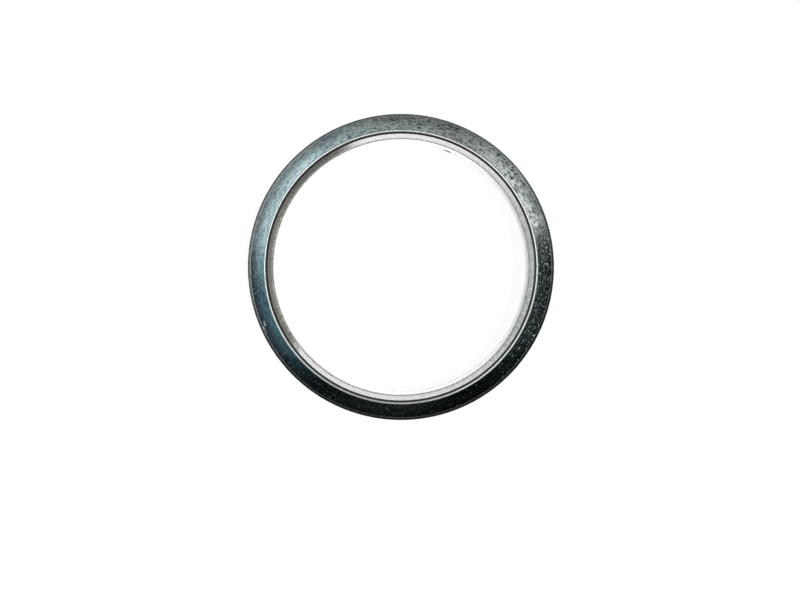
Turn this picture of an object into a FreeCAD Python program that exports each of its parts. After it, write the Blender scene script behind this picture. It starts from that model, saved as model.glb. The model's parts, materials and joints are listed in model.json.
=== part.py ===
import FreeCAD, Part
import os
import Sketcher

# Ring joint gasket: a seal ring turned in one piece from bright steel.
# It lies on its flat base. The axis is +Z and the origin is the middle of the base.
# The upper face is finished flat, with a shallow chamfer at the rim and a steeper one at the mouth
# of the bore, both rounded into the face. The bore has a step: wide above, narrow below.
# All sizes are in millimetres.

DOCUMENT_NAME = "RingJointGasket"
RING_NAME = "gasket_ring"
OUTPUT_FOLDER = "parts"

FULL_TURN_DEG = 360.0
PLACE_TOLERANCE = 0.001

# Driving sizes: the name used in the formulas, the value, and what it measures
SIZES = (
    ("bore_diameter", 63.3, "narrow bore, between the base and the ledge"),
    ("ring_wall", 4.85, "radial wall from the narrow bore to the outside"),
    ("ring_height", 10.5, "base to upper face"),
    ("ledge_width", 0.18, "radial width of the step between the two bores"),
    ("wide_bore_depth", 6.0, "upper face to ledge"),
    ("mouth_chamfer", 0.6, "chamfer of 45 degrees where the wide bore meets the upper face"),
    ("mouth_rounding", 0.6, "radius that blends the mouth chamfer into the upper face"),
    ("rim_chamfer_width", 0.7, "radial width of the shallow chamfer around the upper face"),
    ("rim_chamfer_drop", 0.4, "height that the shallow chamfer falls towards the outside"),
    ("rim_rounding", 0.1, "radius that blends the shallow chamfer into the upper face"),
    ("base_rim_break", 0.4, "chamfer of 45 degrees where the outside meets the base"),
    ("base_bore_break", 0.3, "chamfer of 45 degrees where the narrow bore meets the base"),
)

# Places on the section, as formulas of the driving sizes
NARROW_BORE_RADIUS = "Sizes.bore_diameter / 2"
WIDE_BORE_RADIUS = "Sizes.bore_diameter / 2 + Sizes.ledge_width"
OUTSIDE_RADIUS = "Sizes.bore_diameter / 2 + Sizes.ring_wall"
MOUTH_CORNER_RADIUS = WIDE_BORE_RADIUS + " + Sizes.mouth_chamfer"
RIM_CORNER_RADIUS = OUTSIDE_RADIUS + " - Sizes.rim_chamfer_width"
BASE_HEIGHT = "0"
LEDGE_HEIGHT = "Sizes.ring_height - Sizes.wide_bore_depth"
FACE_HEIGHT = "Sizes.ring_height"


def make_sheet(doc):
    """Put the driving sizes in a sheet, one row each: what it measures, and the value with its name."""
    sheet = doc.addObject("Spreadsheet::Sheet", "Sizes")
    for row, (name, value, meaning) in enumerate(SIZES, start=1):
        sheet.set(f"A{row}", meaning)
        sheet.set(f"B{row}", str(value))
        sheet.setAlias(f"B{row}", name)
    doc.recompute()


def value_of(item, formula):
    """Work out a formula of the driving sizes as a plain number, through any object of the document."""
    return float(item.evalExpression(formula))


def section_plane(body):
    """Find the body's own plane of radius and height."""
    return next(part for part in body.Origin.OriginFeatures if part.Role == "XZ_Plane")


def sketch_rectangle(body, name, inner, outer, low, high):
    """Sketch a rectangle in the half-section, between two radii and two heights given as formulas."""
    sketch = body.newObject("Sketcher::SketchObject", name)
    sketch.AttachmentSupport = (section_plane(body), [""])
    sketch.MapMode = "FlatFace"

    corners = [
        FreeCAD.Vector(value_of(body, radius), value_of(body, height), 0)
        for radius, height in ((inner, low), (outer, low), (outer, high), (inner, high))
    ]
    next_side = {0: 1, 1: 2, 2: 3, 3: 0}
    for side, following in next_side.items():
        sketch.addGeometry(Part.LineSegment(corners[side], corners[following]), False)

    # Each side's end meets the following side's start. Level and upright sides alternate.
    start, end = 1, 2
    for side, following in next_side.items():
        sketch.addConstraint(Sketcher.Constraint("Coincident", side, end, following, start))
        direction = "Horizontal" if side % 2 == 0 else "Vertical"
        sketch.addConstraint(Sketcher.Constraint(direction, side))

    # The first corner takes the inner radius and low height, the third the outer radius and high height.
    root = (-1, 1)
    for corner, kind, formula in (
        (0, "DistanceX", inner),
        (0, "DistanceY", low),
        (2, "DistanceX", outer),
        (2, "DistanceY", high),
    ):
        distance = Sketcher.Constraint(kind, *root, corner, start, value_of(body, formula))
        index = sketch.addConstraint(distance)
        sketch.setExpression(f"Constraints[{index}]", formula)
    body.Document.recompute()
    return sketch


def turn_section(body, kind, name, sketch):
    """Turn a sketch once round the ring's axis: a Revolution adds material and a Groove cuts it."""
    feature = body.newObject(f"PartDesign::{kind}", name)
    feature.Profile = sketch
    feature.ReferenceAxis = (sketch, ["V_Axis"])
    feature.Angle = FULL_TURN_DEG
    body.Document.recompute()


def round_edge(feature, radius_formula, height_formula):
    """Name the one circular edge of a feature's shape that lies at this radius and height."""
    radius = value_of(feature, radius_formula)
    height = value_of(feature, height_formula)
    found = []
    for number, edge in enumerate(feature.Shape.Edges, start=1):
        if not isinstance(edge.Curve, Part.Circle):
            continue
        radius_fits = abs(edge.Curve.Radius - radius) < PLACE_TOLERANCE
        height_fits = abs(edge.Curve.Center.z - height) < PLACE_TOLERANCE
        if radius_fits and height_fits:
            found.append(f"Edge{number}")
    if len(found) != 1:
        raise RuntimeError(f"{len(found)} edges at radius {radius:.3f} and height {height:.3f}")
    return found


def dress_edge(body, kind, name, radius_formula, height_formula, sizes):
    """Chamfer or fillet the circular edge at this place. sizes gives each size of the feature a formula."""
    base = body.Tip
    edge = round_edge(base, radius_formula, height_formula)
    feature = body.newObject(f"PartDesign::{kind}", name)
    feature.Base = (base, edge)
    if "Size2" in sizes:
        feature.ChamferType = "Two distances"
    for size, formula in sizes.items():
        feature.setExpression(size, formula)
    body.Document.recompute()


def turn_blank(body):
    """Turn the plain ring: narrow bore all the way, flat faces, sharp corners."""
    section = sketch_rectangle(
        body, "BlankSection", NARROW_BORE_RADIUS, OUTSIDE_RADIUS, BASE_HEIGHT, FACE_HEIGHT
    )
    turn_section(body, "Revolution", "Blank", section)


def open_wide_bore(body):
    """Open the bore from the upper face down to the ledge."""
    section = sketch_rectangle(
        body, "WideBoreSection", NARROW_BORE_RADIUS, WIDE_BORE_RADIUS, LEDGE_HEIGHT, FACE_HEIGHT
    )
    volume_before = body.Shape.Volume
    turn_section(body, "Groove", "WideBore", section)
    if body.Shape.Volume >= volume_before:
        raise RuntimeError("the wide bore cut nothing")


def dress_face(body):
    """Cut the chamfers at the mouth and the rim, and round both into the upper face."""
    mouth = ("Sizes.mouth_chamfer", "Sizes.mouth_rounding")
    dress_edge(body, "Chamfer", "MouthChamfer", WIDE_BORE_RADIUS, FACE_HEIGHT, {"Size": mouth[0]})
    dress_edge(body, "Fillet", "MouthRounding", MOUTH_CORNER_RADIUS, FACE_HEIGHT, {"Radius": mouth[1]})

    rim = {"Size": "Sizes.rim_chamfer_width", "Size2": "Sizes.rim_chamfer_drop"}
    dress_edge(body, "Chamfer", "RimChamfer", OUTSIDE_RADIUS, FACE_HEIGHT, rim)
    rounding = {"Radius": "Sizes.rim_rounding"}
    dress_edge(body, "Fillet", "RimRounding", RIM_CORNER_RADIUS, FACE_HEIGHT, rounding)


def break_base_corners(body):
    """Break the two corners of the base."""
    rim_break = {"Size": "Sizes.base_rim_break"}
    dress_edge(body, "Chamfer", "BaseRimBreak", OUTSIDE_RADIUS, BASE_HEIGHT, rim_break)
    bore_break = {"Size": "Sizes.base_bore_break"}
    dress_edge(body, "Chamfer", "BaseBoreBreak", NARROW_BORE_RADIUS, BASE_HEIGHT, bore_break)


def make_ring(doc):
    """Make the whole ring as one body."""
    body = doc.addObject("PartDesign::Body", "GasketRing")
    body.Label = RING_NAME
    turn_blank(body)
    open_wide_bore(body)
    dress_face(body)
    break_base_corners(body)
    return body


def check_document(doc, bodies):
    """Stop if any object failed, or if a body's shape is missing, broken or not one solid."""
    for item in doc.Objects:
        if "Invalid" in item.State or "Error" in item.State:
            raise RuntimeError(f"{item.Name} failed: {item.State}")
    for body in bodies:
        if body.Shape.isNull() or not body.Shape.isValid():
            raise RuntimeError(f"{body.Label} has no valid shape")
        if len(body.Shape.Solids) != 1:
            raise RuntimeError(f"{body.Label} is {len(body.Shape.Solids)} solids")


def main():
    """Build the document, check it and write each body to its own file."""
    doc = FreeCAD.newDocument(DOCUMENT_NAME)
    make_sheet(doc)
    bodies = [make_ring(doc)]
    doc.recompute()
    check_document(doc, bodies)
    os.makedirs(OUTPUT_FOLDER, exist_ok=True)
    for body in bodies:
        body.Shape.exportStep(os.path.join(OUTPUT_FOLDER, body.Label + ".step"))
        box = body.Shape.optimalBoundingBox()
        size = f"{box.XLength:.2f} x {box.YLength:.2f} x {box.ZLength:.2f} mm"
        print(f"{body.Label}: {size}, {body.Shape.Volume:.1f} cubic mm, {len(body.Shape.Faces)} faces")


main()
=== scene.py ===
"""Ring joint gasket: a seal ring turned in one piece from bright steel.

The ring lies on its flat base with its axis along +Z. Its upper face is ground round the ring,
the mouth of the bore and the rim have small chamfers that are rounded into the face, and the bore
steps in at a narrow ledge. Lengths are in metres, and angles in degrees unless a name says
otherwise. Azimuths count anticlockwise from +X, seen from above.
"""

import json
import logging
import math
from dataclasses import dataclass
from enum import Enum, IntEnum
from typing import Any

import bpy
from bpy.types import Material, Node, NodeSocket, NodeTree, Object
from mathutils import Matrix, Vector


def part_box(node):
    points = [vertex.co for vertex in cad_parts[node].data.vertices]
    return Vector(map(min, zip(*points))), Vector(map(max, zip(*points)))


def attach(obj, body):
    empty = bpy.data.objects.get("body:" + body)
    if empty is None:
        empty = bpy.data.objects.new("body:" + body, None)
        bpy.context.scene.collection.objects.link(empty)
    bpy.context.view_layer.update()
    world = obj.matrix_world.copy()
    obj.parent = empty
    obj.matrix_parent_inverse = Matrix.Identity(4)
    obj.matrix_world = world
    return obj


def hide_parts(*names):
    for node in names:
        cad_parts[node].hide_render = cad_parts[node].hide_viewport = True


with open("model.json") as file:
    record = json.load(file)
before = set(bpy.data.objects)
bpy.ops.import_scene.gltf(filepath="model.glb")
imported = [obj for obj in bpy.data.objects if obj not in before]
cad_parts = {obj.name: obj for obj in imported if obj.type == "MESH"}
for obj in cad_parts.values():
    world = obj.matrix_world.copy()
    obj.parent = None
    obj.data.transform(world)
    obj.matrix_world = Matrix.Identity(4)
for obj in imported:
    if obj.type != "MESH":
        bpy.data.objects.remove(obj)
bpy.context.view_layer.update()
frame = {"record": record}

LOG = logging.getLogger("ring_joint_gasket")

MM = 0.001
RING_NODE = "gasket_ring"
RING_BODY = "root"
ZONE_ATTRIBUTE = "zone"

Colour = tuple[float, float, float]
WHITE: Colour = (1.0, 1.0, 1.0)


class Zone(IntEnum):
    """Stretches of the ring's section, each with a finish of its own."""

    NARROW_BORE = 0
    LEDGE = 1
    WIDE_BORE = 2
    MOUTH_CHAMFER = 3
    MOUTH_ROUNDING = 4
    FACE = 5
    RIM_ROUNDING = 6
    RIM_CHAMFER = 7
    OUTSIDE = 8
    BASE = 9


class Ray(Enum):
    """Kinds of ray that the floor and the sky tell apart."""

    CAMERA = "Is Camera Ray"
    GLOSSY = "Is Glossy Ray"
    TRANSMISSION = "Is Transmission Ray"


class NodeBoard:
    """Adds nodes to one tree and joins their sockets."""

    def __init__(self, tree: NodeTree) -> None:
        """Take hold of the shader or geometry tree that the nodes go into."""
        self.tree = tree

    def add(self, kind: str, inputs: dict[Any, Any] | None = None, **settings: Any) -> Node:
        """Add a node, set its options, then its inputs.

        Args:
            kind: The node's type name.
            inputs: Input name or number, with a plain value or the socket that feeds it.
            settings: The node's own options, such as operation.

        Returns:
            The new node.
        """
        node = self.tree.nodes.new(kind)
        for name, value in settings.items():
            setattr(node, name, value)
        self.feed_all(node, inputs or {})
        return node

    def feed(self, socket: NodeSocket, value: Any) -> None:
        """Give a socket a plain value, or join it to the socket that feeds it.

        Args:
            socket: The input socket.
            value: A number, a vector, a colour or an output socket.
        """
        if isinstance(value, NodeSocket):
            self.tree.links.new(value, socket)
        else:
            socket.default_value = value

    def feed_all(self, node: Node, inputs: dict[Any, Any]) -> None:
        """Feed several inputs of a node, given by name or number."""
        for name, value in inputs.items():
            self.feed(node.inputs[name], value)

    def place(self, group: NodeTree, inputs: dict[str, Any]) -> Any:
        """Place a node group and give the socket of its first output."""
        return self.add("ShaderNodeGroup", inputs, node_tree=group).outputs[0]

    def math(self, operation: str, *values: Any) -> NodeSocket:
        """Give the socket of a Math node's result, from its inputs in order."""
        return self.add("ShaderNodeMath", dict(enumerate(values)), operation=operation).outputs[0]

    def vector_math(self, operation: str, *values: Any) -> NodeSocket:
        """Give the socket of a Vector Math node's vector, from its inputs in order."""
        inputs = dict(enumerate(values))
        return self.add("ShaderNodeVectorMath", inputs, operation=operation).outputs["Vector"]

    def scale(self, vector: Any, factor: Any) -> NodeSocket:
        """Give the socket of a vector times a number."""
        inputs = {0: vector, "Scale": factor}
        return self.add("ShaderNodeVectorMath", inputs, operation="SCALE").outputs["Vector"]

    def length(self, vector: Any) -> NodeSocket:
        """Give the socket of a vector's length."""
        return self.add("ShaderNodeVectorMath", {0: vector}, operation="LENGTH").outputs["Value"]

    def split(self, vector: Any) -> Any:
        """Give the sockets of a vector's X, Y and Z."""
        return self.add("ShaderNodeSeparateXYZ", {0: vector}).outputs

    def join(self, x: Any, y: Any, z: Any = 0.0) -> NodeSocket:
        """Give the socket of the vector with these X, Y and Z."""
        return self.add("ShaderNodeCombineXYZ", {0: x, 1: y, 2: z}).outputs[0]

    def sample(self, outline: Any, data_type: str, value: Any, index: Any) -> NodeSocket:
        """Give the socket of a value at the outline's point with an index."""
        inputs = {"Geometry": outline, "Value": value, "Index": index}
        return self.add("GeometryNodeSampleIndex", inputs, data_type=data_type).outputs[0]

    def smooth_range(self, value: Any, start: Any, end: Any) -> NodeSocket:
        """Rise softly from 0 to 1 while a value goes from start to end.

        Args:
            value: The value that is followed.
            start: Where the rise starts. It may be above end, and then the result falls.
            end: Where the rise ends.

        Returns:
            The socket that gives a number from 0 to 1.
        """
        inputs = {"Value": value, "From Min": start, "From Max": end}
        node = self.add("ShaderNodeMapRange", inputs, interpolation_type="SMOOTHSTEP")
        return node.outputs["Result"]

    def mix_colour(self, factor: Any, first: Any, second: Any) -> NodeSocket:
        """Give the socket of a blend: the first colour at factor 0 and the second at 1."""
        inputs = {0: factor, 6: first, 7: second}
        return self.add("ShaderNodeMix", inputs, data_type="RGBA").outputs[2]


class Socket(Enum):
    """Kinds of socket that the node groups take and give."""

    NUMBER = "NodeSocketFloat"
    WHOLE_NUMBER = "NodeSocketInt"
    VECTOR = "NodeSocketVector"
    GEOMETRY = "NodeSocketGeometry"


def new_group(
    name: str, tree_kind: str, takes: dict[str, Socket], gives: dict[str, Socket]
) -> tuple[NodeBoard, Any, Any]:
    """Start a node group with named sockets.

    Args:
        name: The group's name.
        tree_kind: ShaderNodeTree or GeometryNodeTree.
        takes: The kind of each input.
        gives: The kind of each output.

    Returns:
        A board for its tree, the sockets of its inputs and the sockets of its outputs.
    """
    tree = bpy.data.node_groups.new(name, tree_kind)
    for direction, sockets in (("INPUT", takes), ("OUTPUT", gives)):
        for socket_name, kind in sockets.items():
            tree.interface.new_socket(socket_name, in_out=direction, socket_type=kind.value)
    board = NodeBoard(tree)
    return board, board.add("NodeGroupInput").outputs, board.add("NodeGroupOutput").inputs


def new_pattern(name: str, numbers: tuple[str, ...], result: str) -> tuple[NodeBoard, Any, Any]:
    """Start a shader group that makes one number of a vector and some numbers.

    Args:
        name: The group's name.
        numbers: The names of the numbers that it takes.
        result: The name of the number that it gives.

    Returns:
        A board for its tree, the sockets of its inputs and the socket of its output.
    """
    takes = {"Vector": Socket.VECTOR} | dict.fromkeys(numbers, Socket.NUMBER)
    board, given, wanted = new_group(name, "ShaderNodeTree", takes, {result: Socket.NUMBER})
    return board, given, wanted[result]


def rgba(colour: Colour, level: float = 1.0) -> tuple[float, float, float, float]:
    """Turn a colour into four numbers, brighter or darker by level."""
    return (colour[0] * level, colour[1] * level, colour[2] * level, 1.0)


@dataclass(frozen=True)
class Corner:
    """A corner of the section, with the stretch that follows it."""

    radius: float
    height: float
    zone: Zone
    rounding: float = 0.0
    rounding_zone: Zone = Zone.MOUTH_ROUNDING
    steps: int = 1


@dataclass(frozen=True)
class Station:
    """A point of the finished outline, with the zone of the stretch that follows it."""

    radius: float
    height: float
    zone: Zone


@dataclass(frozen=True)
class RingSection:
    """Half-section of the ring. The CAD model has the same sizes."""

    bore_radius: float
    outside_radius: float
    height: float
    ledge_width: float = 0.18 * MM
    wide_bore_depth: float = 6.0 * MM
    mouth_chamfer: float = 0.6 * MM
    mouth_rounding: float = 0.6 * MM
    rim_chamfer_width: float = 0.7 * MM
    rim_chamfer_drop: float = 0.4 * MM
    rim_rounding: float = 0.1 * MM
    base_rim_break: float = 0.4 * MM
    base_bore_break: float = 0.3 * MM
    face_crown: float = 0.014 * MM
    face_steps: int = 24
    chamfer_steps: int = 8
    rounding_steps: int = 8

    def corners(self) -> list[Corner]:
        """List the corners: up the bore, out over the face, down the outside, in under the base.

        Returns:
            The corners in order.
        """
        wide_radius = self.bore_radius + self.ledge_width
        ledge_height = self.height - self.wide_bore_depth
        mouth_foot = self.height - self.mouth_chamfer
        mouth_radius = wide_radius + self.mouth_chamfer
        rim_radius = self.outside_radius - self.rim_chamfer_width
        rim_foot = self.height - self.rim_chamfer_drop
        base_outer = self.outside_radius - self.base_rim_break
        base_inner = self.bore_radius + self.base_bore_break
        return [
            Corner(self.bore_radius, self.base_bore_break, Zone.NARROW_BORE),
            Corner(self.bore_radius, ledge_height, Zone.LEDGE),
            Corner(wide_radius, ledge_height, Zone.WIDE_BORE),
            Corner(wide_radius, mouth_foot, Zone.MOUTH_CHAMFER),
            Corner(
                mouth_radius, self.height, Zone.FACE, self.mouth_rounding, steps=self.face_steps
            ),
            Corner(
                rim_radius,
                self.height,
                Zone.RIM_CHAMFER,
                self.rim_rounding,
                Zone.RIM_ROUNDING,
                self.chamfer_steps,
            ),
            Corner(self.outside_radius, rim_foot, Zone.OUTSIDE),
            Corner(self.outside_radius, self.base_rim_break, Zone.BASE),
            Corner(base_outer, 0.0, Zone.BASE),
            Corner(base_inner, 0.0, Zone.BASE),
        ]

    def rounded(self, corner: Corner, before: Corner, after: Corner) -> list[Vector]:
        """Round a corner with an arc that touches both of its sides.

        Args:
            corner: The corner.
            before: The corner before it.
            after: The corner after it.

        Returns:
            Points along the arc, or the corner itself where it stays sharp.
        """
        place = Vector((corner.radius, corner.height))
        if corner.rounding == 0.0:
            return [place]
        back = (Vector((before.radius, before.height)) - place).normalized()
        ahead = (Vector((after.radius, after.height)) - place).normalized()
        half_angle = back.angle(ahead) / 2
        centre = place + (back + ahead).normalized() * corner.rounding / math.sin(half_angle)
        start = place + back * corner.rounding / math.tan(half_angle) - centre
        sweep = math.pi - 2 * half_angle
        turn = math.copysign(1.0, start.cross(place - centre))
        points = []
        for step in range(self.rounding_steps + 1):
            angle = turn * sweep * step / self.rounding_steps
            cosine, sine = math.cos(angle), math.sin(angle)
            spoke = Vector((start.x * cosine - start.y * sine, start.x * sine + start.y * cosine))
            points.append(centre + spoke)
        return points

    def outline(self) -> list[Station]:
        """Follow the whole section once, with arcs at the rounded corners and a fine face.

        Returns:
            The outline's points, without the first one again at the end.
        """
        corners = self.corners()
        bends = [
            self.rounded(corner, corners[index - 1], corners[(index + 1) % len(corners)])
            for index, corner in enumerate(corners)
        ]
        stations: list[Station] = []
        for index, (corner, bend) in enumerate(zip(corners, bends)):
            stations += [Station(point.x, point.y, corner.rounding_zone) for point in bend[:-1]]
            start, end = bend[-1], bends[(index + 1) % len(bends)][0]
            for step in range(corner.steps):
                point = start.lerp(end, step / corner.steps)
                stations.append(Station(point.x, point.y, corner.zone))
        return [self.crowned(station) for station in stations]

    def crowned(self, station: Station) -> Station:
        """Lower the edges of the face and the rim chamfer a little, as lapping and polishing do.

        Args:
            station: A point of the outline.

        Returns:
            The point, lowered the more, the nearer it lies to an edge of its surface.
        """
        inner = self.bore_radius + self.ledge_width + self.mouth_chamfer
        outer = self.outside_radius - self.rim_chamfer_width
        if station.height < self.height - self.mouth_chamfer:
            return station
        across = (station.radius - inner) / (outer - inner)
        if station.zone is Zone.RIM_CHAMFER:
            across = (station.radius - outer) / self.rim_chamfer_width
        fall = self.face_crown * min(1.0, (2.0 * across - 1.0) ** 2)
        return Station(station.radius, station.height - fall, station.zone)


@dataclass(frozen=True)
class Pit:
    """A small round dent in the upper face."""

    azimuth: float
    radius_on_ring: float
    size: float
    depth: float


@dataclass(frozen=True)
class PaintedShade:
    """Painted shade on one side of the ring: darker colour laid over the steel where it should look dim.

    Depth is the share of the steel that it hides. Where a foot is given, the painted shade sets in
    between the heights foot and top, and lies above them.
    """

    azimuth: float
    half_width: float
    softness: float
    depth: float
    colour: Colour = (0.0, 0.0, 0.0)
    foot: float | None = None
    top: float = 0.0


@dataclass(frozen=True)
class WornPatch:
    """A side of the ring whose face is rougher. What it holds is added to the finish's own."""

    azimuth: float
    half_width: float
    softness: float
    mottle: float = 0.0
    streaks: float = 0.0
    blotches: float = 0.0
    scuffs: float = 0.0
    specks: float = 0.0


@dataclass(frozen=True)
class Mark:
    """A single oval mark, given by half its length and width. Dark marks are painted shade.

    A light mark is rough, and its strength may be above 1.
    """

    azimuth: float
    radius_on_ring: float
    length: float
    width: float
    height: float = 10.5 * MM
    strength: float = 1.0
    is_dark: bool = False


@dataclass(frozen=True)
class SteelFinish:
    """The finish of one stretch of the ring.

    Streaks are marks left round the ring by turning or grinding, and clouds are long soft shades
    of them. Mottle is fine cloud without direction, and blotches are a coarser kind of it. Scuffs
    are small dull scratches, and specks are dull dots. Mottle upright says how many times longer
    the mottle is along the ring's axis. Contrasts are shares of the base colour.
    """

    name: str
    colour: Colour
    roughness: float
    anisotropy: float = 0.0
    streak_length: float = 1.2 * MM
    streak_width: float = 0.25 * MM
    streak_contrast: float = 0.2
    cloud_length: float = 7.0 * MM
    cloud_width: float = 1.8 * MM
    cloud_contrast: float = 0.0
    mottle_size: float = 1.1 * MM
    mottle_contrast: float = 0.1
    mottle_upright: float = 1.0
    blotch_size: float = 2.2 * MM
    scuff_share: float = 0.3
    scuff_roughness: float = 0.15
    speck_share: float = 0.0
    speck_spacing: float = 0.62 * MM
    speck_radius: float = 0.17 * MM
    speck_strength: float = 0.42
    mark_roughness: float = 0.2
    grazing_tone: float = 1.0
    bump_height: float = 0.002 * MM
    # Painted shades: darker colour laid over the sides of this stretch where its reflections should look
    # dim
    painted_shades: tuple[PaintedShade, ...] = ()
    patches: tuple[WornPatch, ...] = ()
    marks: tuple[Mark, ...] = ()


FINISHES: dict[Zone, SteelFinish] = {
    Zone.NARROW_BORE: SteelFinish(
        name="Narrow Bore Steel",
        colour=(0.97, 0.98, 0.985),
        roughness=0.5,
        anisotropy=0.3,
        streak_contrast=0.06,
        mottle_contrast=0.03,
        # Painted shade: the narrow bore is darkened round 4 degrees, where it mirrors the floor's
        # shadow, and high up near the ledge round 140 and -150 degrees, fading towards its foot
        painted_shades=(
            PaintedShade(4.0, 38.0, 20.0, 0.46, foot=0.2 * MM, top=4.8 * MM),
            PaintedShade(140.0, 36.0, 16.0, 0.4, foot=2.4 * MM, top=5.2 * MM),
            PaintedShade(-150.0, 32.0, 18.0, 0.4, foot=2.4 * MM, top=5.2 * MM),
        ),
        # Painted shadows: three short dark dashes low in the narrow bore
        marks=(
            Mark(111.3, 31.65 * MM, 0.95 * MM, 0.8 * MM, 1.2 * MM, 0.3, is_dark=True),
            Mark(68.0, 31.65 * MM, 1.5 * MM, 1.1 * MM, 1.0 * MM, 1.0, is_dark=True),
            Mark(64.4, 31.65 * MM, 1.1 * MM, 0.8 * MM, 1.4 * MM, 0.35, is_dark=True),
        ),
    ),
    Zone.LEDGE: SteelFinish(
        name="Ledge Steel",
        colour=(0.86, 0.86, 0.84),
        roughness=0.45,
        streak_contrast=0.15,
    ),
    Zone.WIDE_BORE: SteelFinish(
        name="Wide Bore Steel",
        colour=(0.97, 0.96, 0.935),
        roughness=0.2,
        anisotropy=0.3,
        streak_length=3.0 * MM,
        streak_contrast=0.2,
        mottle_size=0.7 * MM,
        mottle_contrast=0.08,
        mottle_upright=9.0,
        grazing_tone=0.5,
        # Painted shade: a brown-grey band high on the wide bore round 165 degrees, darkest round 133
        # degrees, and a lighter grey-green one round -8 degrees, where the bore mirrors the floor's
        # shadow
        painted_shades=(
            PaintedShade(165.5, 52.0, 6.0, 0.97, (0.12, 0.112, 0.088), 3.4 * MM, 7.0 * MM),
            PaintedShade(133.0, 16.0, 10.0, 0.75, (0.01, 0.02, 0.02), 3.8 * MM, 6.6 * MM),
            PaintedShade(-8.0, 36.0, 18.0, 0.34, (0.18, 0.30, 0.24)),
        ),
        patches=(
            WornPatch(-14.0, 36.0, 16.0, mottle=0.14),
            WornPatch(-176.0, 40.0, 12.0, mottle=0.34),
        ),
    ),
    Zone.MOUTH_CHAMFER: SteelFinish(
        name="Mouth Chamfer Steel",
        # Painted shade: the chamfer's steel is near black, so that the dark line at the mouth of the
        # bore shows
        colour=(0.20, 0.20, 0.185),
        roughness=0.2,
    ),
    Zone.MOUTH_ROUNDING: SteelFinish(
        name="Rounded Mouth Steel",
        colour=(0.96, 0.97, 0.95),
        roughness=0.09,
        streak_contrast=0.25,
        bump_height=0.0005 * MM,
    ),
    Zone.FACE: SteelFinish(
        name="Ground Face Steel",
        colour=(0.75, 0.775, 0.77),
        roughness=0.07,
        streak_length=1.3 * MM,
        streak_width=0.27 * MM,
        streak_contrast=0.5,
        cloud_contrast=0.26,
        mottle_size=0.8 * MM,
        mottle_contrast=0.2,
        scuff_share=0.22,
        scuff_roughness=0.2,
        speck_share=0.26,
        patches=(
            WornPatch(36.0, 28.0, 14.0, mottle=0.2),
            WornPatch(27.0, 17.0, 6.0, blotches=0.24),
            WornPatch(77.0, 40.0, 16.0, mottle=0.14, streaks=0.42, scuffs=0.08, specks=0.2),
            WornPatch(-10.0, 28.0, 14.0, mottle=0.1, scuffs=0.04, specks=0.5),
            WornPatch(-80.0, 40.0, 14.0, mottle=0.34, scuffs=-0.045, specks=-0.2),
            WornPatch(-138.0, 28.0, 14.0, scuffs=-0.02, specks=0.34),
        ),
        marks=(
            Mark(-157.4, 35.1 * MM, 0.9 * MM, 0.22 * MM, strength=1.5),
            Mark(-155.9, 35.65 * MM, 0.8 * MM, 0.2 * MM, strength=1.4),
            Mark(-27.3, 35.5 * MM, 0.35 * MM, 0.22 * MM),
            Mark(58.5, 34.17 * MM, 1.5 * MM, 0.2 * MM, strength=1.5),
            Mark(-34.4, 34.02 * MM, 0.5 * MM, 0.19 * MM, strength=1.2),
            # Painted shade: a dark mark in the pit, so that only a thin crescent of it catches light
            Mark(-34.2, 33.74 * MM, 0.5 * MM, 0.36 * MM, is_dark=True),
        ),
    ),
    Zone.RIM_ROUNDING: SteelFinish(
        name="Rounded Rim Steel",
        colour=(0.80, 0.83, 0.83),
        roughness=0.15,
        bump_height=0.0005 * MM,
        # Painted shade: dulls the glint of the rounded rim round -74 degrees, and a little round 92
        # degrees
        painted_shades=(
            PaintedShade(azimuth=-74.0, half_width=84.0, softness=34.0, depth=0.85),
            PaintedShade(azimuth=92.0, half_width=32.0, softness=12.0, depth=0.3),
        ),
    ),
    Zone.RIM_CHAMFER: SteelFinish(
        name="Rim Chamfer Steel",
        colour=(0.55, 0.63, 0.64),
        roughness=0.1,
        # Painted shade: darkens the rim chamfer's reflection round -74 degrees, and a little round 92
        # degrees
        painted_shades=(
            PaintedShade(azimuth=-74.0, half_width=84.0, softness=34.0, depth=0.8),
            PaintedShade(azimuth=92.0, half_width=32.0, softness=12.0, depth=0.2),
        ),
    ),
    Zone.OUTSIDE: SteelFinish(
        name="Turned Outside Steel",
        colour=(0.33, 0.34, 0.345),
        roughness=0.25,
        anisotropy=0.5,
        streak_length=14.0 * MM,
        streak_width=0.16 * MM,
        streak_contrast=0.15,
        mottle_contrast=0.04,
        bump_height=0.003 * MM,
    ),
    Zone.BASE: SteelFinish(
        name="Faced Base Steel",
        colour=(0.46, 0.47, 0.47),
        roughness=0.28,
        anisotropy=0.3,
        streak_length=8.0 * MM,
        streak_width=0.2 * MM,
        bump_height=0.003 * MM,
    ),
}


PITS = (Pit(azimuth=-34.2, radius_on_ring=33.68 * MM, size=0.35 * MM, depth=0.03 * MM),)

# Patterns: the radius at which marks round the ring have their stated length, how the noise is
# made and where it is cut off, and how much of a speck or a mark is its full-strength core
MEAN_RADIUS = 34.0 * MM
TURNING_ROUGHNESS = 0.55
TURNING_LOW = 0.25
TURNING_HIGH = 0.75
MOTTLE_DETAIL = 4.0
MOTTLE_ROUGHNESS = 0.7
MOTTLE_LOW = 0.36
MOTTLE_HIGH = 0.64
SPECK_CORE = 0.2
LEAST_SPECK_SHARE = 0.01
MARK_CORE = 0.4

# Seeds: the step from one finish to the next, and the shift of each layer of one finish
SEED_STEP = 17.0
CLOUD_SHIFT = 5.0
SCRATCH_SHIFT = 9.0
BLOTCH_SHIFT = 3.0

# Layers of finer marks over the streaks and the clouds
STREAK_DETAIL = 2.0
CLOUD_DETAIL = 1.0

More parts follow.
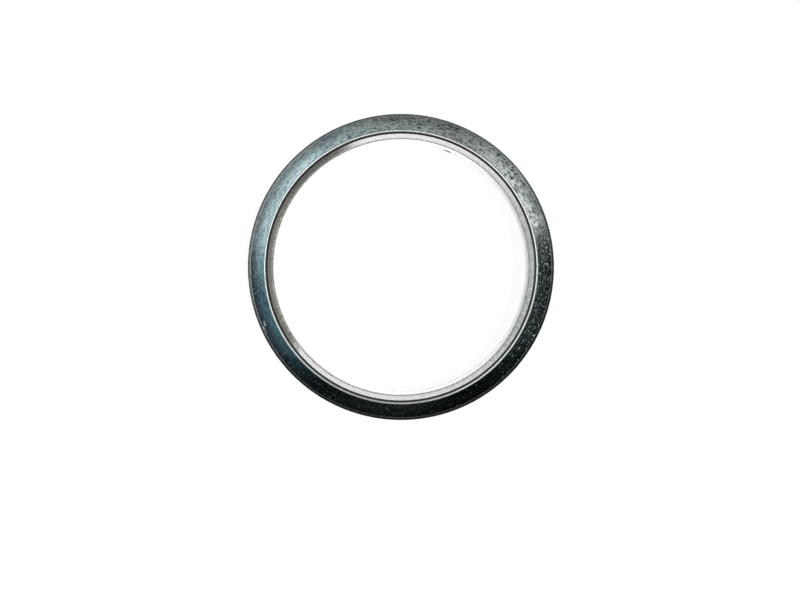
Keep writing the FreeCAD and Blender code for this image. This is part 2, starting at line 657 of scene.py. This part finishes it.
# Scratches: their size, the height of mark at which they start where the scuff share is 0, how far
# a share of 1 lowers it, and the rise from there to full strength
SCRATCH_LENGTH = 0.6 * MM
SCRATCH_WIDTH = 0.24 * MM
SCRATCH_DETAIL = 2.0
SCRATCH_START = 1.03
SCRATCH_GAIN = 2.0
SCRATCH_RISE = 0.34

# The share of the steel that a dark mark, a painted shade, hides, and the turn that lays the shine
# across the marks
DARK_MARK_DEPTH = 0.92
SHINE_TURN = 0.25


class FinishGroups:
    """The shader node groups that the finishes share, each built once."""

    def __init__(self) -> None:
        """Build every group."""
        self.turning_marks = self.make_turning_marks()
        self.mottle = self.make_mottle()
        self.specks = self.make_specks()
        self.local_mark = self.make_local_mark()
        self.sector = self.make_sector()

    @staticmethod
    def make_turning_marks() -> NodeTree:
        """Make short marks that run round the ring.

        Returns:
            A group that puts out a height, mostly from 0 to 1.
        """
        numbers = ("Mark Length", "Mark Width", "Detail", "Seed")
        board, given, result = new_pattern("Turning Marks", numbers, "Height")
        place = board.split(given["Vector"])
        flat = board.join(place[0], place[1])
        turns = board.math("DIVIDE", MEAN_RADIUS, given["Mark Length"])
        along = board.split(board.scale(board.vector_math("NORMALIZE", flat), turns))
        outward = board.math("ADD", board.length(flat), place[2])
        across = board.math("DIVIDE", outward, given["Mark Width"])
        shifted = board.math("ADD", across, given["Seed"])
        noise_inputs = {
            "Vector": board.join(along[0], along[1], shifted),
            "Scale": 1.0,
            "Detail": given["Detail"],
            "Roughness": TURNING_ROUGHNESS,
        }
        noise = board.add("ShaderNodeTexNoise", noise_inputs).outputs[0]
        spread = {"Value": noise, "From Min": TURNING_LOW, "From Max": TURNING_HIGH}
        stretched = board.add("ShaderNodeMapRange", spread, clamp=False)
        board.feed(result, stretched.outputs["Result"])
        return board.tree

    @staticmethod
    def make_mottle() -> NodeTree:
        """Make blotches, as wide round the ring as across it, and longer along its axis if wanted.

        Returns:
            A group that puts out a value from 0 to 1.
        """
        numbers = ("Size", "Upright", "Seed")
        board, given, result = new_pattern("Mottle", numbers, "Value")
        place = board.split(given["Vector"])
        upward = board.math("DIVIDE", place[2], given["Upright"])
        noise_inputs = {
            "Vector": board.join(place[0], place[1], upward),
            "W": given["Seed"],
            "Scale": board.math("DIVIDE", 1.0, given["Size"]),
            "Detail": MOTTLE_DETAIL,
            "Roughness": MOTTLE_ROUGHNESS,
        }
        noise = board.add("ShaderNodeTexNoise", noise_inputs, noise_dimensions="4D").outputs[0]
        board.feed(result, board.smooth_range(noise, MOTTLE_LOW, MOTTLE_HIGH))
        return board.tree

    @staticmethod
    def make_specks() -> NodeTree:
        """Make round specks strewn over a level surface, some of them stronger than others.

        Returns:
            A group that puts out a mask, 1 in the middle of the strongest specks.
        """
        numbers = ("Spacing", "Radius", "Share")
        board, given, result = new_pattern("Specks", numbers, "Mask")
        spacing = given["Spacing"]
        cell_inputs = {"Vector": given["Vector"], "Scale": board.math("DIVIDE", 1.0, spacing)}
        cells = board.add("ShaderNodeTexVoronoi", cell_inputs, voronoi_dimensions="2D")
        radius = board.math("DIVIDE", given["Radius"], spacing)
        core = board.math("MULTIPLY", radius, SPECK_CORE)
        speck = board.smooth_range(cells.outputs["Distance"], radius, core)
        chance = board.add("ShaderNodeSeparateColor", {0: cells.outputs["Color"]}).outputs[0]
        share = board.math("MAXIMUM", given["Share"], LEAST_SPECK_SHARE)
        chosen = board.smooth_range(chance, board.math("SUBTRACT", 1.0, share), 1.0)
        board.feed(result, board.math("MULTIPLY", speck, chosen))
        return board.tree

    @staticmethod
    def make_local_mark() -> NodeTree:
        """Make one oval mark that lies round the ring.

        Returns:
            A group that puts out a mask, 1 in the middle of the mark.
        """
        numbers = ("Azimuth", "Radius", "Height", "Length", "Width")
        board, given, result = new_pattern("Local Mark", numbers, "Mask")
        place = board.split(given["Vector"])
        radius = board.length(board.join(place[0], place[1]))
        azimuth = board.math("ARCTAN2", place[1], place[0])
        turn = board.math("SUBTRACT", azimuth, board.math("RADIANS", given["Azimuth"]))
        along = board.math("MULTIPLY", turn, radius)
        outward = board.math("SUBTRACT", radius, given["Radius"])
        upward = board.math("SUBTRACT", place[2], given["Height"])
        oval = board.join(
            board.math("DIVIDE", along, given["Length"]),
            board.math("DIVIDE", outward, given["Width"]),
            board.math("DIVIDE", upward, given["Width"]),
        )
        board.feed(result, board.smooth_range(board.length(oval), 1.0, MARK_CORE))
        return board.tree

    @staticmethod
    def make_sector() -> NodeTree:
        """Make a mask that is 1 round one azimuth, with soft ends.

        Returns:
            A group that puts out a mask from 0 to 1.
        """
        numbers = ("Azimuth", "Half Width", "Softness")
        board, given, result = new_pattern("Sector", numbers, "Mask")
        place = board.split(given["Vector"])
        azimuth = board.math("DEGREES", board.math("ARCTAN2", place[1], place[0]))
        apart = board.math("SUBTRACT", azimuth, given["Azimuth"])
        distance = board.math("ABSOLUTE", board.math("WRAP", apart, 180.0, -180.0))
        outer = board.math("ADD", given["Half Width"], given["Softness"])
        inner = board.math("SUBTRACT", given["Half Width"], given["Softness"])
        board.feed(result, board.smooth_range(distance, outer, inner))
        return board.tree


class SteelMaker:
    """Makes the material of one finish."""

    def __init__(self, finish: SteelFinish, groups: FinishGroups, seed: float) -> None:
        """Start the material.

        Args:
            finish: What the surface is like.
            groups: The shared node groups.
            seed: Sets its pattern apart from the other finishes'.
        """
        self.finish = finish
        self.groups = groups
        self.seed = seed
        self.material = bpy.data.materials.new(finish.name)
        self.material.use_nodes = True
        self.material.diffuse_color = rgba(finish.colour)
        self.board = NodeBoard(self.material.node_tree)
        self.place = self.board.add("ShaderNodeTexCoord").outputs["Object"]
        self.patch_masks = [self.sector(patch) for patch in finish.patches]

    def sector(self, side: PaintedShade | WornPatch) -> Any:
        """Mask the side of the ring where a painted shade or a worn patch lies.

        Args:
            side: The painted shade or the patch.

        Returns:
            The socket of the mask.
        """
        inputs = {
            "Vector": self.place,
            "Azimuth": side.azimuth,
            "Half Width": side.half_width,
            "Softness": side.softness,
        }
        return self.board.place(self.groups.sector, inputs)

    def marks_round(self, length: float, width: float, detail: float, shift: float) -> Any:
        """Place the turning marks once.

        Args:
            length: How long a mark is, round the ring.
            width: How wide it is.
            detail: How many finer layers lie over it.
            shift: Sets this layer apart from the others.

        Returns:
            The socket of their height.
        """
        inputs = {
            "Vector": self.place,
            "Mark Length": length,
            "Mark Width": width,
            "Detail": detail,
            "Seed": self.seed * SEED_STEP + shift,
        }
        return self.board.place(self.groups.turning_marks, inputs)

    def mottle(self, size: float, upright: float, shift: float) -> Any:
        """Place the mottle once, with clouds of a size, so many times longer along the axis."""
        inputs = {"Vector": self.place, "Size": size, "Upright": upright, "Seed": self.seed + shift}
        return self.board.place(self.groups.mottle, inputs)

    def share(self, start: float, additions: list[float]) -> Any:
        """Raise a share inside the worn patches.

        Args:
            start: The share outside the patches.
            additions: What each patch adds.

        Returns:
            The share, as a number or the socket that gives it.
        """
        total: Any = start
        for addition, mask in zip(additions, self.patch_masks):
            if addition:
                total = self.board.math("MULTIPLY_ADD", mask, addition, total)
        return total

    def tone(self) -> Any:
        """Add up the patterns that make the steel lighter and darker.

        Returns:
            The socket of a factor round 1.
        """
        finish, board, patches = self.finish, self.board, self.finish.patches
        streaks = self.marks_round(finish.streak_length, finish.streak_width, STREAK_DETAIL, 0.0)
        layers = [(streaks, self.share(finish.streak_contrast, [p.streaks for p in patches]))]
        if finish.cloud_contrast:
            clouds = self.marks_round(finish.cloud_length, finish.cloud_width, CLOUD_DETAIL, CLOUD_SHIFT)
            layers.append((clouds, finish.cloud_contrast))
        mottle = self.mottle(finish.mottle_size, finish.mottle_upright, 0.0)
        layers.append((mottle, self.share(finish.mottle_contrast, [p.mottle for p in patches])))
        if any(p.blotches for p in patches):
            blotches = self.mottle(finish.blotch_size, 1.0, BLOTCH_SHIFT)
            layers.append((blotches, self.share(0.0, [p.blotches for p in patches])))
        total: Any = 1.0
        for pattern, contrast in layers:
            centred = board.math("MULTIPLY_ADD", pattern, 2.0, -1.0)
            total = board.math("ADD", total, board.math("MULTIPLY", centred, contrast))
        return total

    def scuffs(self) -> Any:
        """Make small dull scratches and round specks, more of them in the worn patches.

        Returns:
            The socket of a mask from 0 to 1.
        """
        finish, board, patches = self.finish, self.board, self.finish.patches
        scuff_share = self.share(finish.scuff_share, [p.scuffs for p in patches])
        start = board.math("SUBTRACT", SCRATCH_START, board.math("MULTIPLY", scuff_share, SCRATCH_GAIN))
        marks = self.marks_round(SCRATCH_LENGTH, SCRATCH_WIDTH, SCRATCH_DETAIL, SCRATCH_SHIFT)
        scratches = board.smooth_range(marks, start, board.math("ADD", start, SCRATCH_RISE))
        if not finish.speck_share:
            return scratches
        speck_inputs = {
            "Vector": self.place,
            "Spacing": finish.speck_spacing,
            "Radius": finish.speck_radius,
            "Share": self.share(finish.speck_share, [p.specks for p in patches]),
        }
        specks = board.math(
            "MULTIPLY", board.place(self.groups.specks, speck_inputs), finish.speck_strength
        )
        return board.math("MAXIMUM", scratches, specks)

    def single_marks(self, is_dark: bool) -> Any:
        """Join the single marks of one kind.

        Args:
            is_dark: Whether the dark or the light ones are wanted.

        Returns:
            The socket of their mask, or 0.
        """
        total: Any = 0.0
        for mark in self.finish.marks:
            if mark.is_dark == is_dark:
                inputs = {
                    "Vector": self.place,
                    "Azimuth": mark.azimuth,
                    "Radius": mark.radius_on_ring,
                    "Height": mark.height,
                    "Length": mark.length,
                    "Width": mark.width,
                }
                mask = self.board.place(self.groups.local_mark, inputs)
                worn = self.board.math("MULTIPLY", mask, mark.strength)
                total = self.board.math("MAXIMUM", total, worn)
        return total

    def colour(self, tone: Any) -> Any:
        """Lay the painted shades over the steel, then its patterns and its dark marks, which are painted
        shade too.

        Args:
            tone: The factor that the patterns give.

        Returns:
            The socket of the colour, nowhere above white.
        """
        finish, board = self.finish, self.board
        height = board.split(self.place)[2]
        shaded_steel: Any = rgba(finish.colour)
        # Painted shade: each one darkens the steel's colour on its side of the ring
        for painted_shade in finish.painted_shades:
            shade_cover = board.math("MULTIPLY", self.sector(painted_shade), painted_shade.depth)
            if painted_shade.foot is not None:
                lies = board.smooth_range(height, painted_shade.foot, painted_shade.top)
                shade_cover = board.math("MULTIPLY", shade_cover, lies)
            shaded_steel = board.mix_colour(shade_cover, shaded_steel, rgba(painted_shade.colour))
        # The dark marks are painted shade as well: they darken the colour where they lie
        unshaded = board.math("MULTIPLY_ADD", self.single_marks(is_dark=True), -DARK_MARK_DEPTH, 1.0)
        factor = board.math("MULTIPLY", tone, unshaded)
        colour = board.scale(shaded_steel if finish.painted_shades else finish.colour, factor)
        return board.vector_math("MINIMUM", colour, WHITE)

    def make(self) -> Material:
        """Join everything to the shader.

        Returns:
            The material.
        """
        finish, board = self.finish, self.board
        scuffed = board.math("MULTIPLY_ADD", self.scuffs(), finish.scuff_roughness, finish.roughness)
        light_marks = self.single_marks(is_dark=False)
        tone = self.tone()
        relief = {"Height": tone, "Distance": finish.bump_height, "Strength": 1.0}
        inputs = {
            "Base Color": self.colour(tone),
            "Metallic": 1.0,
            "Roughness": board.math("MULTIPLY_ADD", light_marks, finish.mark_roughness, scuffed),
            "Specular Tint": rgba(WHITE, finish.grazing_tone),
            "Anisotropic": finish.anisotropy,
            "Anisotropic Rotation": SHINE_TURN,
            "Tangent": board.add("ShaderNodeTangent", direction_type="RADIAL", axis="Z").outputs[0],
            "Normal": board.add("ShaderNodeBump", relief).outputs[0],
        }
        board.feed_all(self.material.node_tree.nodes["Principled BSDF"], inputs)
        return self.material


@dataclass
class GasketRing:
    """The ring itself: one turned piece."""

    section: RingSection
    pits: tuple[Pit, ...] = ()
    steps_round: int = 1440
    weld_distance: float = 0.001 * MM
    sharp_angle: float = 20.0
    name: str = "seal_ring"

    def make_outline(self) -> Object:
        """Make the section's outline as loose points that carry their zone.

        Returns:
            An object of points in the XZ plane.
        """
        stations = self.section.outline()
        mesh = bpy.data.meshes.new(self.name)
        mesh.from_pydata([(s.radius, 0.0, s.height) for s in stations], [], [])
        zones = mesh.attributes.new(ZONE_ATTRIBUTE, "INT", "POINT")
        zones.data.foreach_set("value", [int(s.zone) for s in stations])
        outline = bpy.data.objects.new(self.name, mesh)
        bpy.context.collection.objects.link(outline)
        LOG.info("outline of %d points", len(stations))
        return outline

    @staticmethod
    def sweep(board: NodeBoard, given: Any, zone: Any) -> NodeSocket:
        """Turn the outline once round the axis and write its zones on the faces.

        Args:
            board: The tree's board.
            given: The sockets of the tree's inputs.
            zone: The socket of the zone attribute.

        Returns:
            The socket of the closed mesh.
        """
        outline, steps = given["Outline"], given["Steps"]
        size = board.add("GeometryNodeAttributeDomainSize", {"Geometry": outline})
        count = size.outputs["Point Count"]

        # A grid with one column for each step round and one row for each point of the outline,
        # and one more of each, which the weld joins to the first
        rows = board.math("ADD", count, 1.0)
        grid_inputs = {"Vertices X": board.math("ADD", steps, 1.0), "Vertices Y": rows}
        grid = board.add("GeometryNodeMeshGrid", grid_inputs).outputs["Mesh"]
        index = board.add("GeometryNodeInputIndex").outputs[0]
        column = board.math("FLOOR", board.math("DIVIDE", index, rows))
        spot = board.math("MODULO", board.math("MODULO", index, rows), count)
        position = board.add("GeometryNodeInputPosition").outputs[0]
        place = board.sample(outline, "FLOAT_VECTOR", position, spot)
        angle = board.math("MULTIPLY", board.math("DIVIDE", column, steps), -math.tau)
        turn_inputs = {"Vector": place, "Angle": angle}
        turned = board.add("ShaderNodeVectorRotate", turn_inputs, rotation_type="Z_AXIS")
        move_inputs = {"Geometry": grid, "Position": turned.outputs[0]}
        moved = board.add("GeometryNodeSetPosition", move_inputs).outputs[0]

        # Each face takes its zone from the point where its stretch starts
        face_zone = board.sample(outline, "INT", zone, board.math("MODULO", index, count))
        store_inputs = {"Geometry": moved, "Name": ZONE_ATTRIBUTE, "Value": face_zone}
        stored = board.add(
            "GeometryNodeStoreNamedAttribute", store_inputs, data_type="INT", domain="FACE"
        )
        weld_inputs = {"Geometry": stored.outputs[0], "Distance": given["Weld Distance"]}
        return board.add("GeometryNodeMergeByDistance", weld_inputs).outputs[0]

    def make_tree(self, materials: dict[Zone, Material]) -> NodeTree:
        """Make the tree that turns an outline into the ring.

        Args:
            materials: The material of each zone.

        Returns:
            The tree.
        """
        takes = {
            "Outline": Socket.GEOMETRY,
            "Steps": Socket.WHOLE_NUMBER,
            "Weld Distance": Socket.NUMBER,
            "Sharp Angle": Socket.NUMBER,
        }
        gives = {"Ring": Socket.GEOMETRY}
        board, given, wanted = new_group("Turned Ring", "GeometryNodeTree", takes, gives)
        board.tree.is_modifier = True
        zone_inputs = {"Name": ZONE_ATTRIBUTE}
        zone = board.add("GeometryNodeInputNamedAttribute", zone_inputs, data_type="INT").outputs[0]
        smooth_inputs = {"Geometry": self.sweep(board, given, zone), "Shade Smooth": True}
        smooth = board.add("GeometryNodeSetShadeSmooth", smooth_inputs).outputs[0]
        fold = board.add("GeometryNodeInputMeshEdgeAngle").outputs["Unsigned Angle"]
        sharp = board.math("GREATER_THAN", fold, given["Sharp Angle"])
        crease_inputs = {"Geometry": smooth, "Selection": sharp, "Shade Smooth": False}
        creased = board.add("GeometryNodeSetShadeSmooth", crease_inputs, domain="EDGE").outputs[0]
        ring = board.add("GeometryNodeRealizeInstances", {"Geometry": creased}).outputs[0]
        for number, material in materials.items():
            pair = {2: zone, 3: int(number)}
            chosen = board.add("FunctionNodeCompare", pair, data_type="INT", operation="EQUAL")
            inputs = {"Geometry": ring, "Selection": chosen.outputs[0], "Material": material}
            ring = board.add("GeometryNodeSetMaterial", inputs).outputs[0]
        board.feed(wanted["Ring"], ring)
        return board.tree

    def turn(self, outline: Object, tree: NodeTree) -> None:
        """Run the tree on the outline and keep its result as the object's plain mesh.

        Args:
            outline: The object that holds the outline.
            tree: The tree that turns it.
        """
        modifier = outline.modifiers.new("Turned Ring", "NODES")
        modifier.node_group = tree
        values = {
            "Steps": self.steps_round,
            "Weld Distance": self.weld_distance,
            "Sharp Angle": math.radians(self.sharp_angle),
        }
        for item in tree.interface.items_tree:
            if item.name in values:
                modifier[item.identifier] = values[item.name]
        depsgraph = bpy.context.evaluated_depsgraph_get()
        evaluated = outline.evaluated_get(depsgraph)
        mesh = bpy.data.meshes.new_from_object(evaluated, depsgraph=depsgraph)
        outline.modifiers.remove(modifier)
        outline.data = mesh
        mesh.name = self.name

    def press_pits(self, ring: Object) -> None:
        """Press the small dents into the upper face.

        Args:
            ring: The turned ring.
        """
        lowest = self.section.height - self.section.mouth_chamfer / 2
        for pit in self.pits:
            azimuth = math.radians(pit.azimuth)
            centre = Vector((math.cos(azimuth), math.sin(azimuth))) * pit.radius_on_ring
            for vertex in ring.data.vertices:
                if vertex.co.z < lowest:
                    continue
                away = (vertex.co.xy - centre).length / pit.size
                if away < 1.0:
                    vertex.co.z -= pit.depth * (1.0 - away**2) ** 2
        ring.data.update()

    def build(self, materials: dict[Zone, Material]) -> None:
        """Make the ring and tie it to the frame.

        Args:
            materials: The material of each zone.
        """
        ring = self.make_outline()
        self.turn(ring, self.make_tree(materials))
        self.press_pits(ring)
        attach(ring, RING_BODY)
        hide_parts(RING_NODE)
        LOG.info("%s: %d faces", ring.name, len(ring.data.polygons))


@dataclass(frozen=True)
class SkyPanel:
    """A lit area of the sky, given by its azimuth and its tilt from straight overhead."""

    name: str
    colour: Colour
    strength: float
    azimuth: float = 0.0
    half_width: float = 360.0
    side_softness: float = 10.0
    tilt_from: float = -20.0
    tilt_to: float = 19.0
    tilt_softness: float = 3.0


@dataclass(frozen=True)
class SkyFlag:
    """A screen that takes a share of the light from an area of the sky."""

    name: str
    share: float
    azimuth: float
    half_width: float
    side_softness: float
    tilt_from: float = -20.0
    tilt_to: float = 22.0
    tilt_softness: float = 2.0


# Panels and flags in order: a flag screens only the panels before it
SKY: tuple[SkyPanel | SkyFlag, ...] = (
    SkyPanel("left window", (0.73, 0.94, 0.98), 0.78, 142.0, 31.0, 18.0),
    SkyPanel("back window", (0.86, 1.0, 0.98), 0.36, 80.0, 32.0, 12.0),
    SkyPanel("back right window", (0.95, 1.0, 0.955), 0.72, 33.0, 25.0, 11.0),
    SkyPanel("back right strip", (1.0, 1.0, 0.93), 0.75, 19.0, 2.8, 1.5),
    SkyFlag("back right core", 0.42, 52.0, 20.0, 8.0, -20.0, 12.4, 0.8),
    SkyFlag("back right gap", 0.22, 61.0, 9.0, 5.0),
    SkyFlag("back left gap", 0.16, 113.0, 14.0, 8.0),
    SkyFlag("back right edge", 0.5, 26.0, 4.5, 2.5, 13.2, 60.0, 0.8),
    SkyFlag("right flag", 0.97, -21.0, 37.0, 1.2),
    SkyPanel("left glow", (0.38, 0.8, 1.0), 0.185, 190.0, 27.0, 20.0),
    SkyPanel("right glow", (0.70, 1.0, 1.0), 0.032, -2.0, 34.0, 18.0),
    SkyPanel("front glow", (0.74, 0.95, 1.0), 0.012, -95.0, 20.0, 12.0),
    SkyFlag("overhead edge", 0.72, 0.0, 360.0, 1.0, 13.9, 60.0, 0.9),
    SkyPanel("back right bar", (0.95, 1.0, 0.955), 0.22, 37.0, 5.5, 3.0),
    SkyPanel("wide soft ring", WHITE, 1.2, 0.0, 360.0, 1.0, 25.0, 50.0, 3.0),
    SkyPanel("low soft ring", WHITE, 0.35, 0.0, 360.0, 1.0, 50.0, 68.0, 3.0),
    SkyFlag("back flag", 0.5, 78.0, 35.0, 25.0, 24.0, 68.0, 2.0),
    SkyPanel("right boost", WHITE, 0.55, -28.0, 36.0, 16.0, 28.0, 50.0, 3.0),
    SkyPanel("left boost", WHITE, 0.6, 212.0, 26.0, 16.0, 28.0, 50.0, 3.0),
    SkyPanel("low sky", WHITE, 0.09, 0.0, 360.0, 1.0, 66.0, 91.0, 3.0),
    SkyPanel("low back light", WHITE, 0.16, 112.0, 85.0, 12.0, 60.0, 75.0, 4.0),
    SkyPanel("dim everywhere", (0.5, 0.8, 1.0), 0.004, 0.0, 360.0, 1.0, -20.0, 200.0, 3.0),
    SkyPanel("under the horizon", WHITE, 0.8, 0.0, 360.0, 1.0, 91.0, 200.0, 1.0),
)


@dataclass(frozen=True)
class Studio:
    """Floor, sky and lamp."""

    floor_half: float = 1.5
    floor_colour: Colour = (0.85, 0.85, 0.85)
    seen_glow: float = 0.92
    seen_diffuse: float = 0.11
    mirrored_glow: float = 0.43
    key_azimuth: float = -10.0
    key_tilt: float = 20.0
    key_strength: float = 1.6
    key_softness: float = 12.0

    @staticmethod
    def ray_mask(board: NodeBoard, kinds: tuple[Ray, ...]) -> NodeSocket:
        """Make a mask that is 1 for rays of the given kinds.

        Args:
            board: The board of the floor's or the sky's tree.
            kinds: The kinds of ray.

        Returns:
            The socket that gives the mask.
        """
        path = board.add("ShaderNodeLightPath")
        mask = path.outputs[kinds[0].value]
        for kind in kinds[1:]:
            mask = board.math("MAXIMUM", mask, path.outputs[kind.value])
        return mask

    def make_sky(self, sector: NodeTree) -> None:
        """Make the sky: plain white to the camera, and soft panels for everything else.

        Args:
            sector: The group that masks an azimuth.
        """
        world = bpy.data.worlds.new("Studio Sky")
        world.use_nodes = True
        bpy.context.scene.world = world
        board = NodeBoard(world.node_tree)
        direction = board.add("ShaderNodeTexCoord").outputs["Generated"]
        tilt = board.math("DEGREES", board.math("ARCCOSINE", board.split(direction)[2]))
        total: Any = (0.0, 0.0, 0.0)
        for area in SKY:
            sector_inputs = {
                "Vector": direction,
                "Azimuth": area.azimuth,
                "Half Width": area.half_width,
                "Softness": area.side_softness,
            }
            side = board.place(sector, sector_inputs)
            side.node.label = area.name
            soft = area.tilt_softness
            above = board.smooth_range(tilt, area.tilt_from - soft, area.tilt_from + soft)
            below = board.smooth_range(tilt, area.tilt_to + soft, area.tilt_to - soft)
            mask = board.math("MULTIPLY", side, board.math("MULTIPLY", above, below))
            if isinstance(area, SkyFlag):
                total = board.scale(total, board.math("MULTIPLY_ADD", mask, -area.share, 1.0))
            else:
                level = tuple(part * area.strength for part in area.colour)
                total = board.vector_math("ADD", total, board.scale(level, mask))
        seen = self.ray_mask(board, (Ray.CAMERA,))
        background = world.node_tree.nodes["Background"]
        board.feed(background.inputs["Color"], board.mix_colour(seen, total, rgba(WHITE)))

    def make_floor(self) -> None:
        """Make the floor: white to the camera with a faint shadow, and plain pale in reflections."""
        half = self.floor_half
        corners = [(-half, -half, 0.0), (half, -half, 0.0), (half, half, 0.0), (-half, half, 0.0)]
        mesh = bpy.data.meshes.new("floor")
        mesh.from_pydata(corners, [], [(0, 1, 2, 3)])
        material = bpy.data.materials.new("Pale Floor")
        material.use_nodes = True
        material.node_tree.nodes.clear()
        board = NodeBoard(material.node_tree)
        seen = self.ray_mask(board, (Ray.CAMERA,))
        mirrored = self.ray_mask(board, (Ray.GLOSSY, Ray.TRANSMISSION))
        mirrored_part = board.math("MULTIPLY", mirrored, self.mirrored_glow)
        glow = board.math("MULTIPLY_ADD", seen, self.seen_glow, mirrored_part)
        emission = board.add("ShaderNodeEmission", {"Strength": glow})
        seen_colour = rgba(self.floor_colour, self.seen_diffuse)
        colour = board.mix_colour(seen, rgba(self.floor_colour), seen_colour)
        diffuse = board.add("ShaderNodeBsdfDiffuse", {"Color": colour})
        both = board.add("ShaderNodeAddShader", {0: emission.outputs[0], 1: diffuse.outputs[0]})
        board.add("ShaderNodeOutputMaterial", {"Surface": both.outputs[0]})
        mesh.materials.append(material)
        floor = bpy.data.objects.new("floor", mesh)
        bpy.context.collection.objects.link(floor)

    def make_key(self) -> None:
        """Make the main lamp, a wide soft sun that leaves no glint of its own."""
        data = bpy.data.lights.new("key", "SUN")
        data.energy = self.key_strength
        data.angle = math.radians(self.key_softness)
        lamp = bpy.data.objects.new("key", data)
        azimuth, tilt = math.radians(self.key_azimuth), math.radians(self.key_tilt)
        towards = Vector(
            (math.cos(azimuth) * math.sin(tilt), math.sin(azimuth) * math.sin(tilt), math.cos(tilt))
        )
        lamp.location = towards
        lamp.rotation_euler = towards.to_track_quat("Z", "Y").to_euler()
        lamp.visible_glossy = False
        bpy.context.collection.objects.link(lamp)

    def build(self, groups: FinishGroups) -> None:
        """Make the sky, the floor and the lamp.

        Args:
            groups: The shared node groups.
        """
        self.make_sky(groups.sector)
        self.make_floor()
        self.make_key()
        LOG.info("studio: %d sky areas, a floor and a lamp", len(SKY))


@dataclass(frozen=True)
class PhotoCamera:
    """The photograph's camera: straight above the ring, looking down."""

    face_distance: float = 141.6 * MM
    nearest_seen: float = 10.0 * MM
    sensor_width: float = 36.0
    image_width: float = 800.0
    image_height: float = 600.0
    ring_centre_px: tuple[float, float] = (400.93, 267.0)
    ring_radius_px: float = 153.1

    def build(self, section: RingSection) -> None:
        """Make the camera and make it the scene's own.

        Args:
            section: The ring's sizes.
        """
        data = bpy.data.cameras.new("photo_camera")
        data.sensor_fit = "HORIZONTAL"
        data.sensor_width = self.sensor_width
        widest_distance = self.face_distance + section.rim_chamfer_drop
        focal_px = self.ring_radius_px * widest_distance / section.outside_radius
        data.lens = self.sensor_width * focal_px / self.image_width
        data.shift_x = (self.image_width / 2 - self.ring_centre_px[0]) / self.image_width
        data.shift_y = (self.ring_centre_px[1] - self.image_height / 2) / self.image_width
        data.clip_start = self.nearest_seen
        camera = bpy.data.objects.new("photo_camera", data)
        camera.location = (0.0, 0.0, section.height + self.face_distance)
        bpy.context.collection.objects.link(camera)
        bpy.context.scene.camera = camera
        LOG.info("camera: lens %.2f mm", data.lens)


def read_section() -> RingSection:
    """Read the ring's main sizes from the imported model.

    Returns:
        The section, with its outside and height from the node and its bore from the record.
    """
    low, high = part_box(RING_NODE)
    bore = next(mount for mount in frame["record"]["mounts"] if mount["name"] == "bore")
    return RingSection(
        bore_radius=bore["dims"]["r_mm"] * MM,
        outside_radius=(high.x - low.x) / 2,
        height=high.z - low.z,
    )


def main() -> None:
    """Build the ring, the studio and the camera."""
    logging.basicConfig(level=logging.INFO, format="%(name)s: %(message)s")
    bpy.context.scene.view_settings.view_transform = "Standard"
    section = read_section()
    groups = FinishGroups()
    materials = {
        zone: SteelMaker(finish, groups, float(zone)).make() for zone, finish in FINISHES.items()
    }
    PhotoCamera().build(section)
    GasketRing(section, PITS).build(materials)
    Studio().build(groups)


if __name__ == "__main__":
    main()
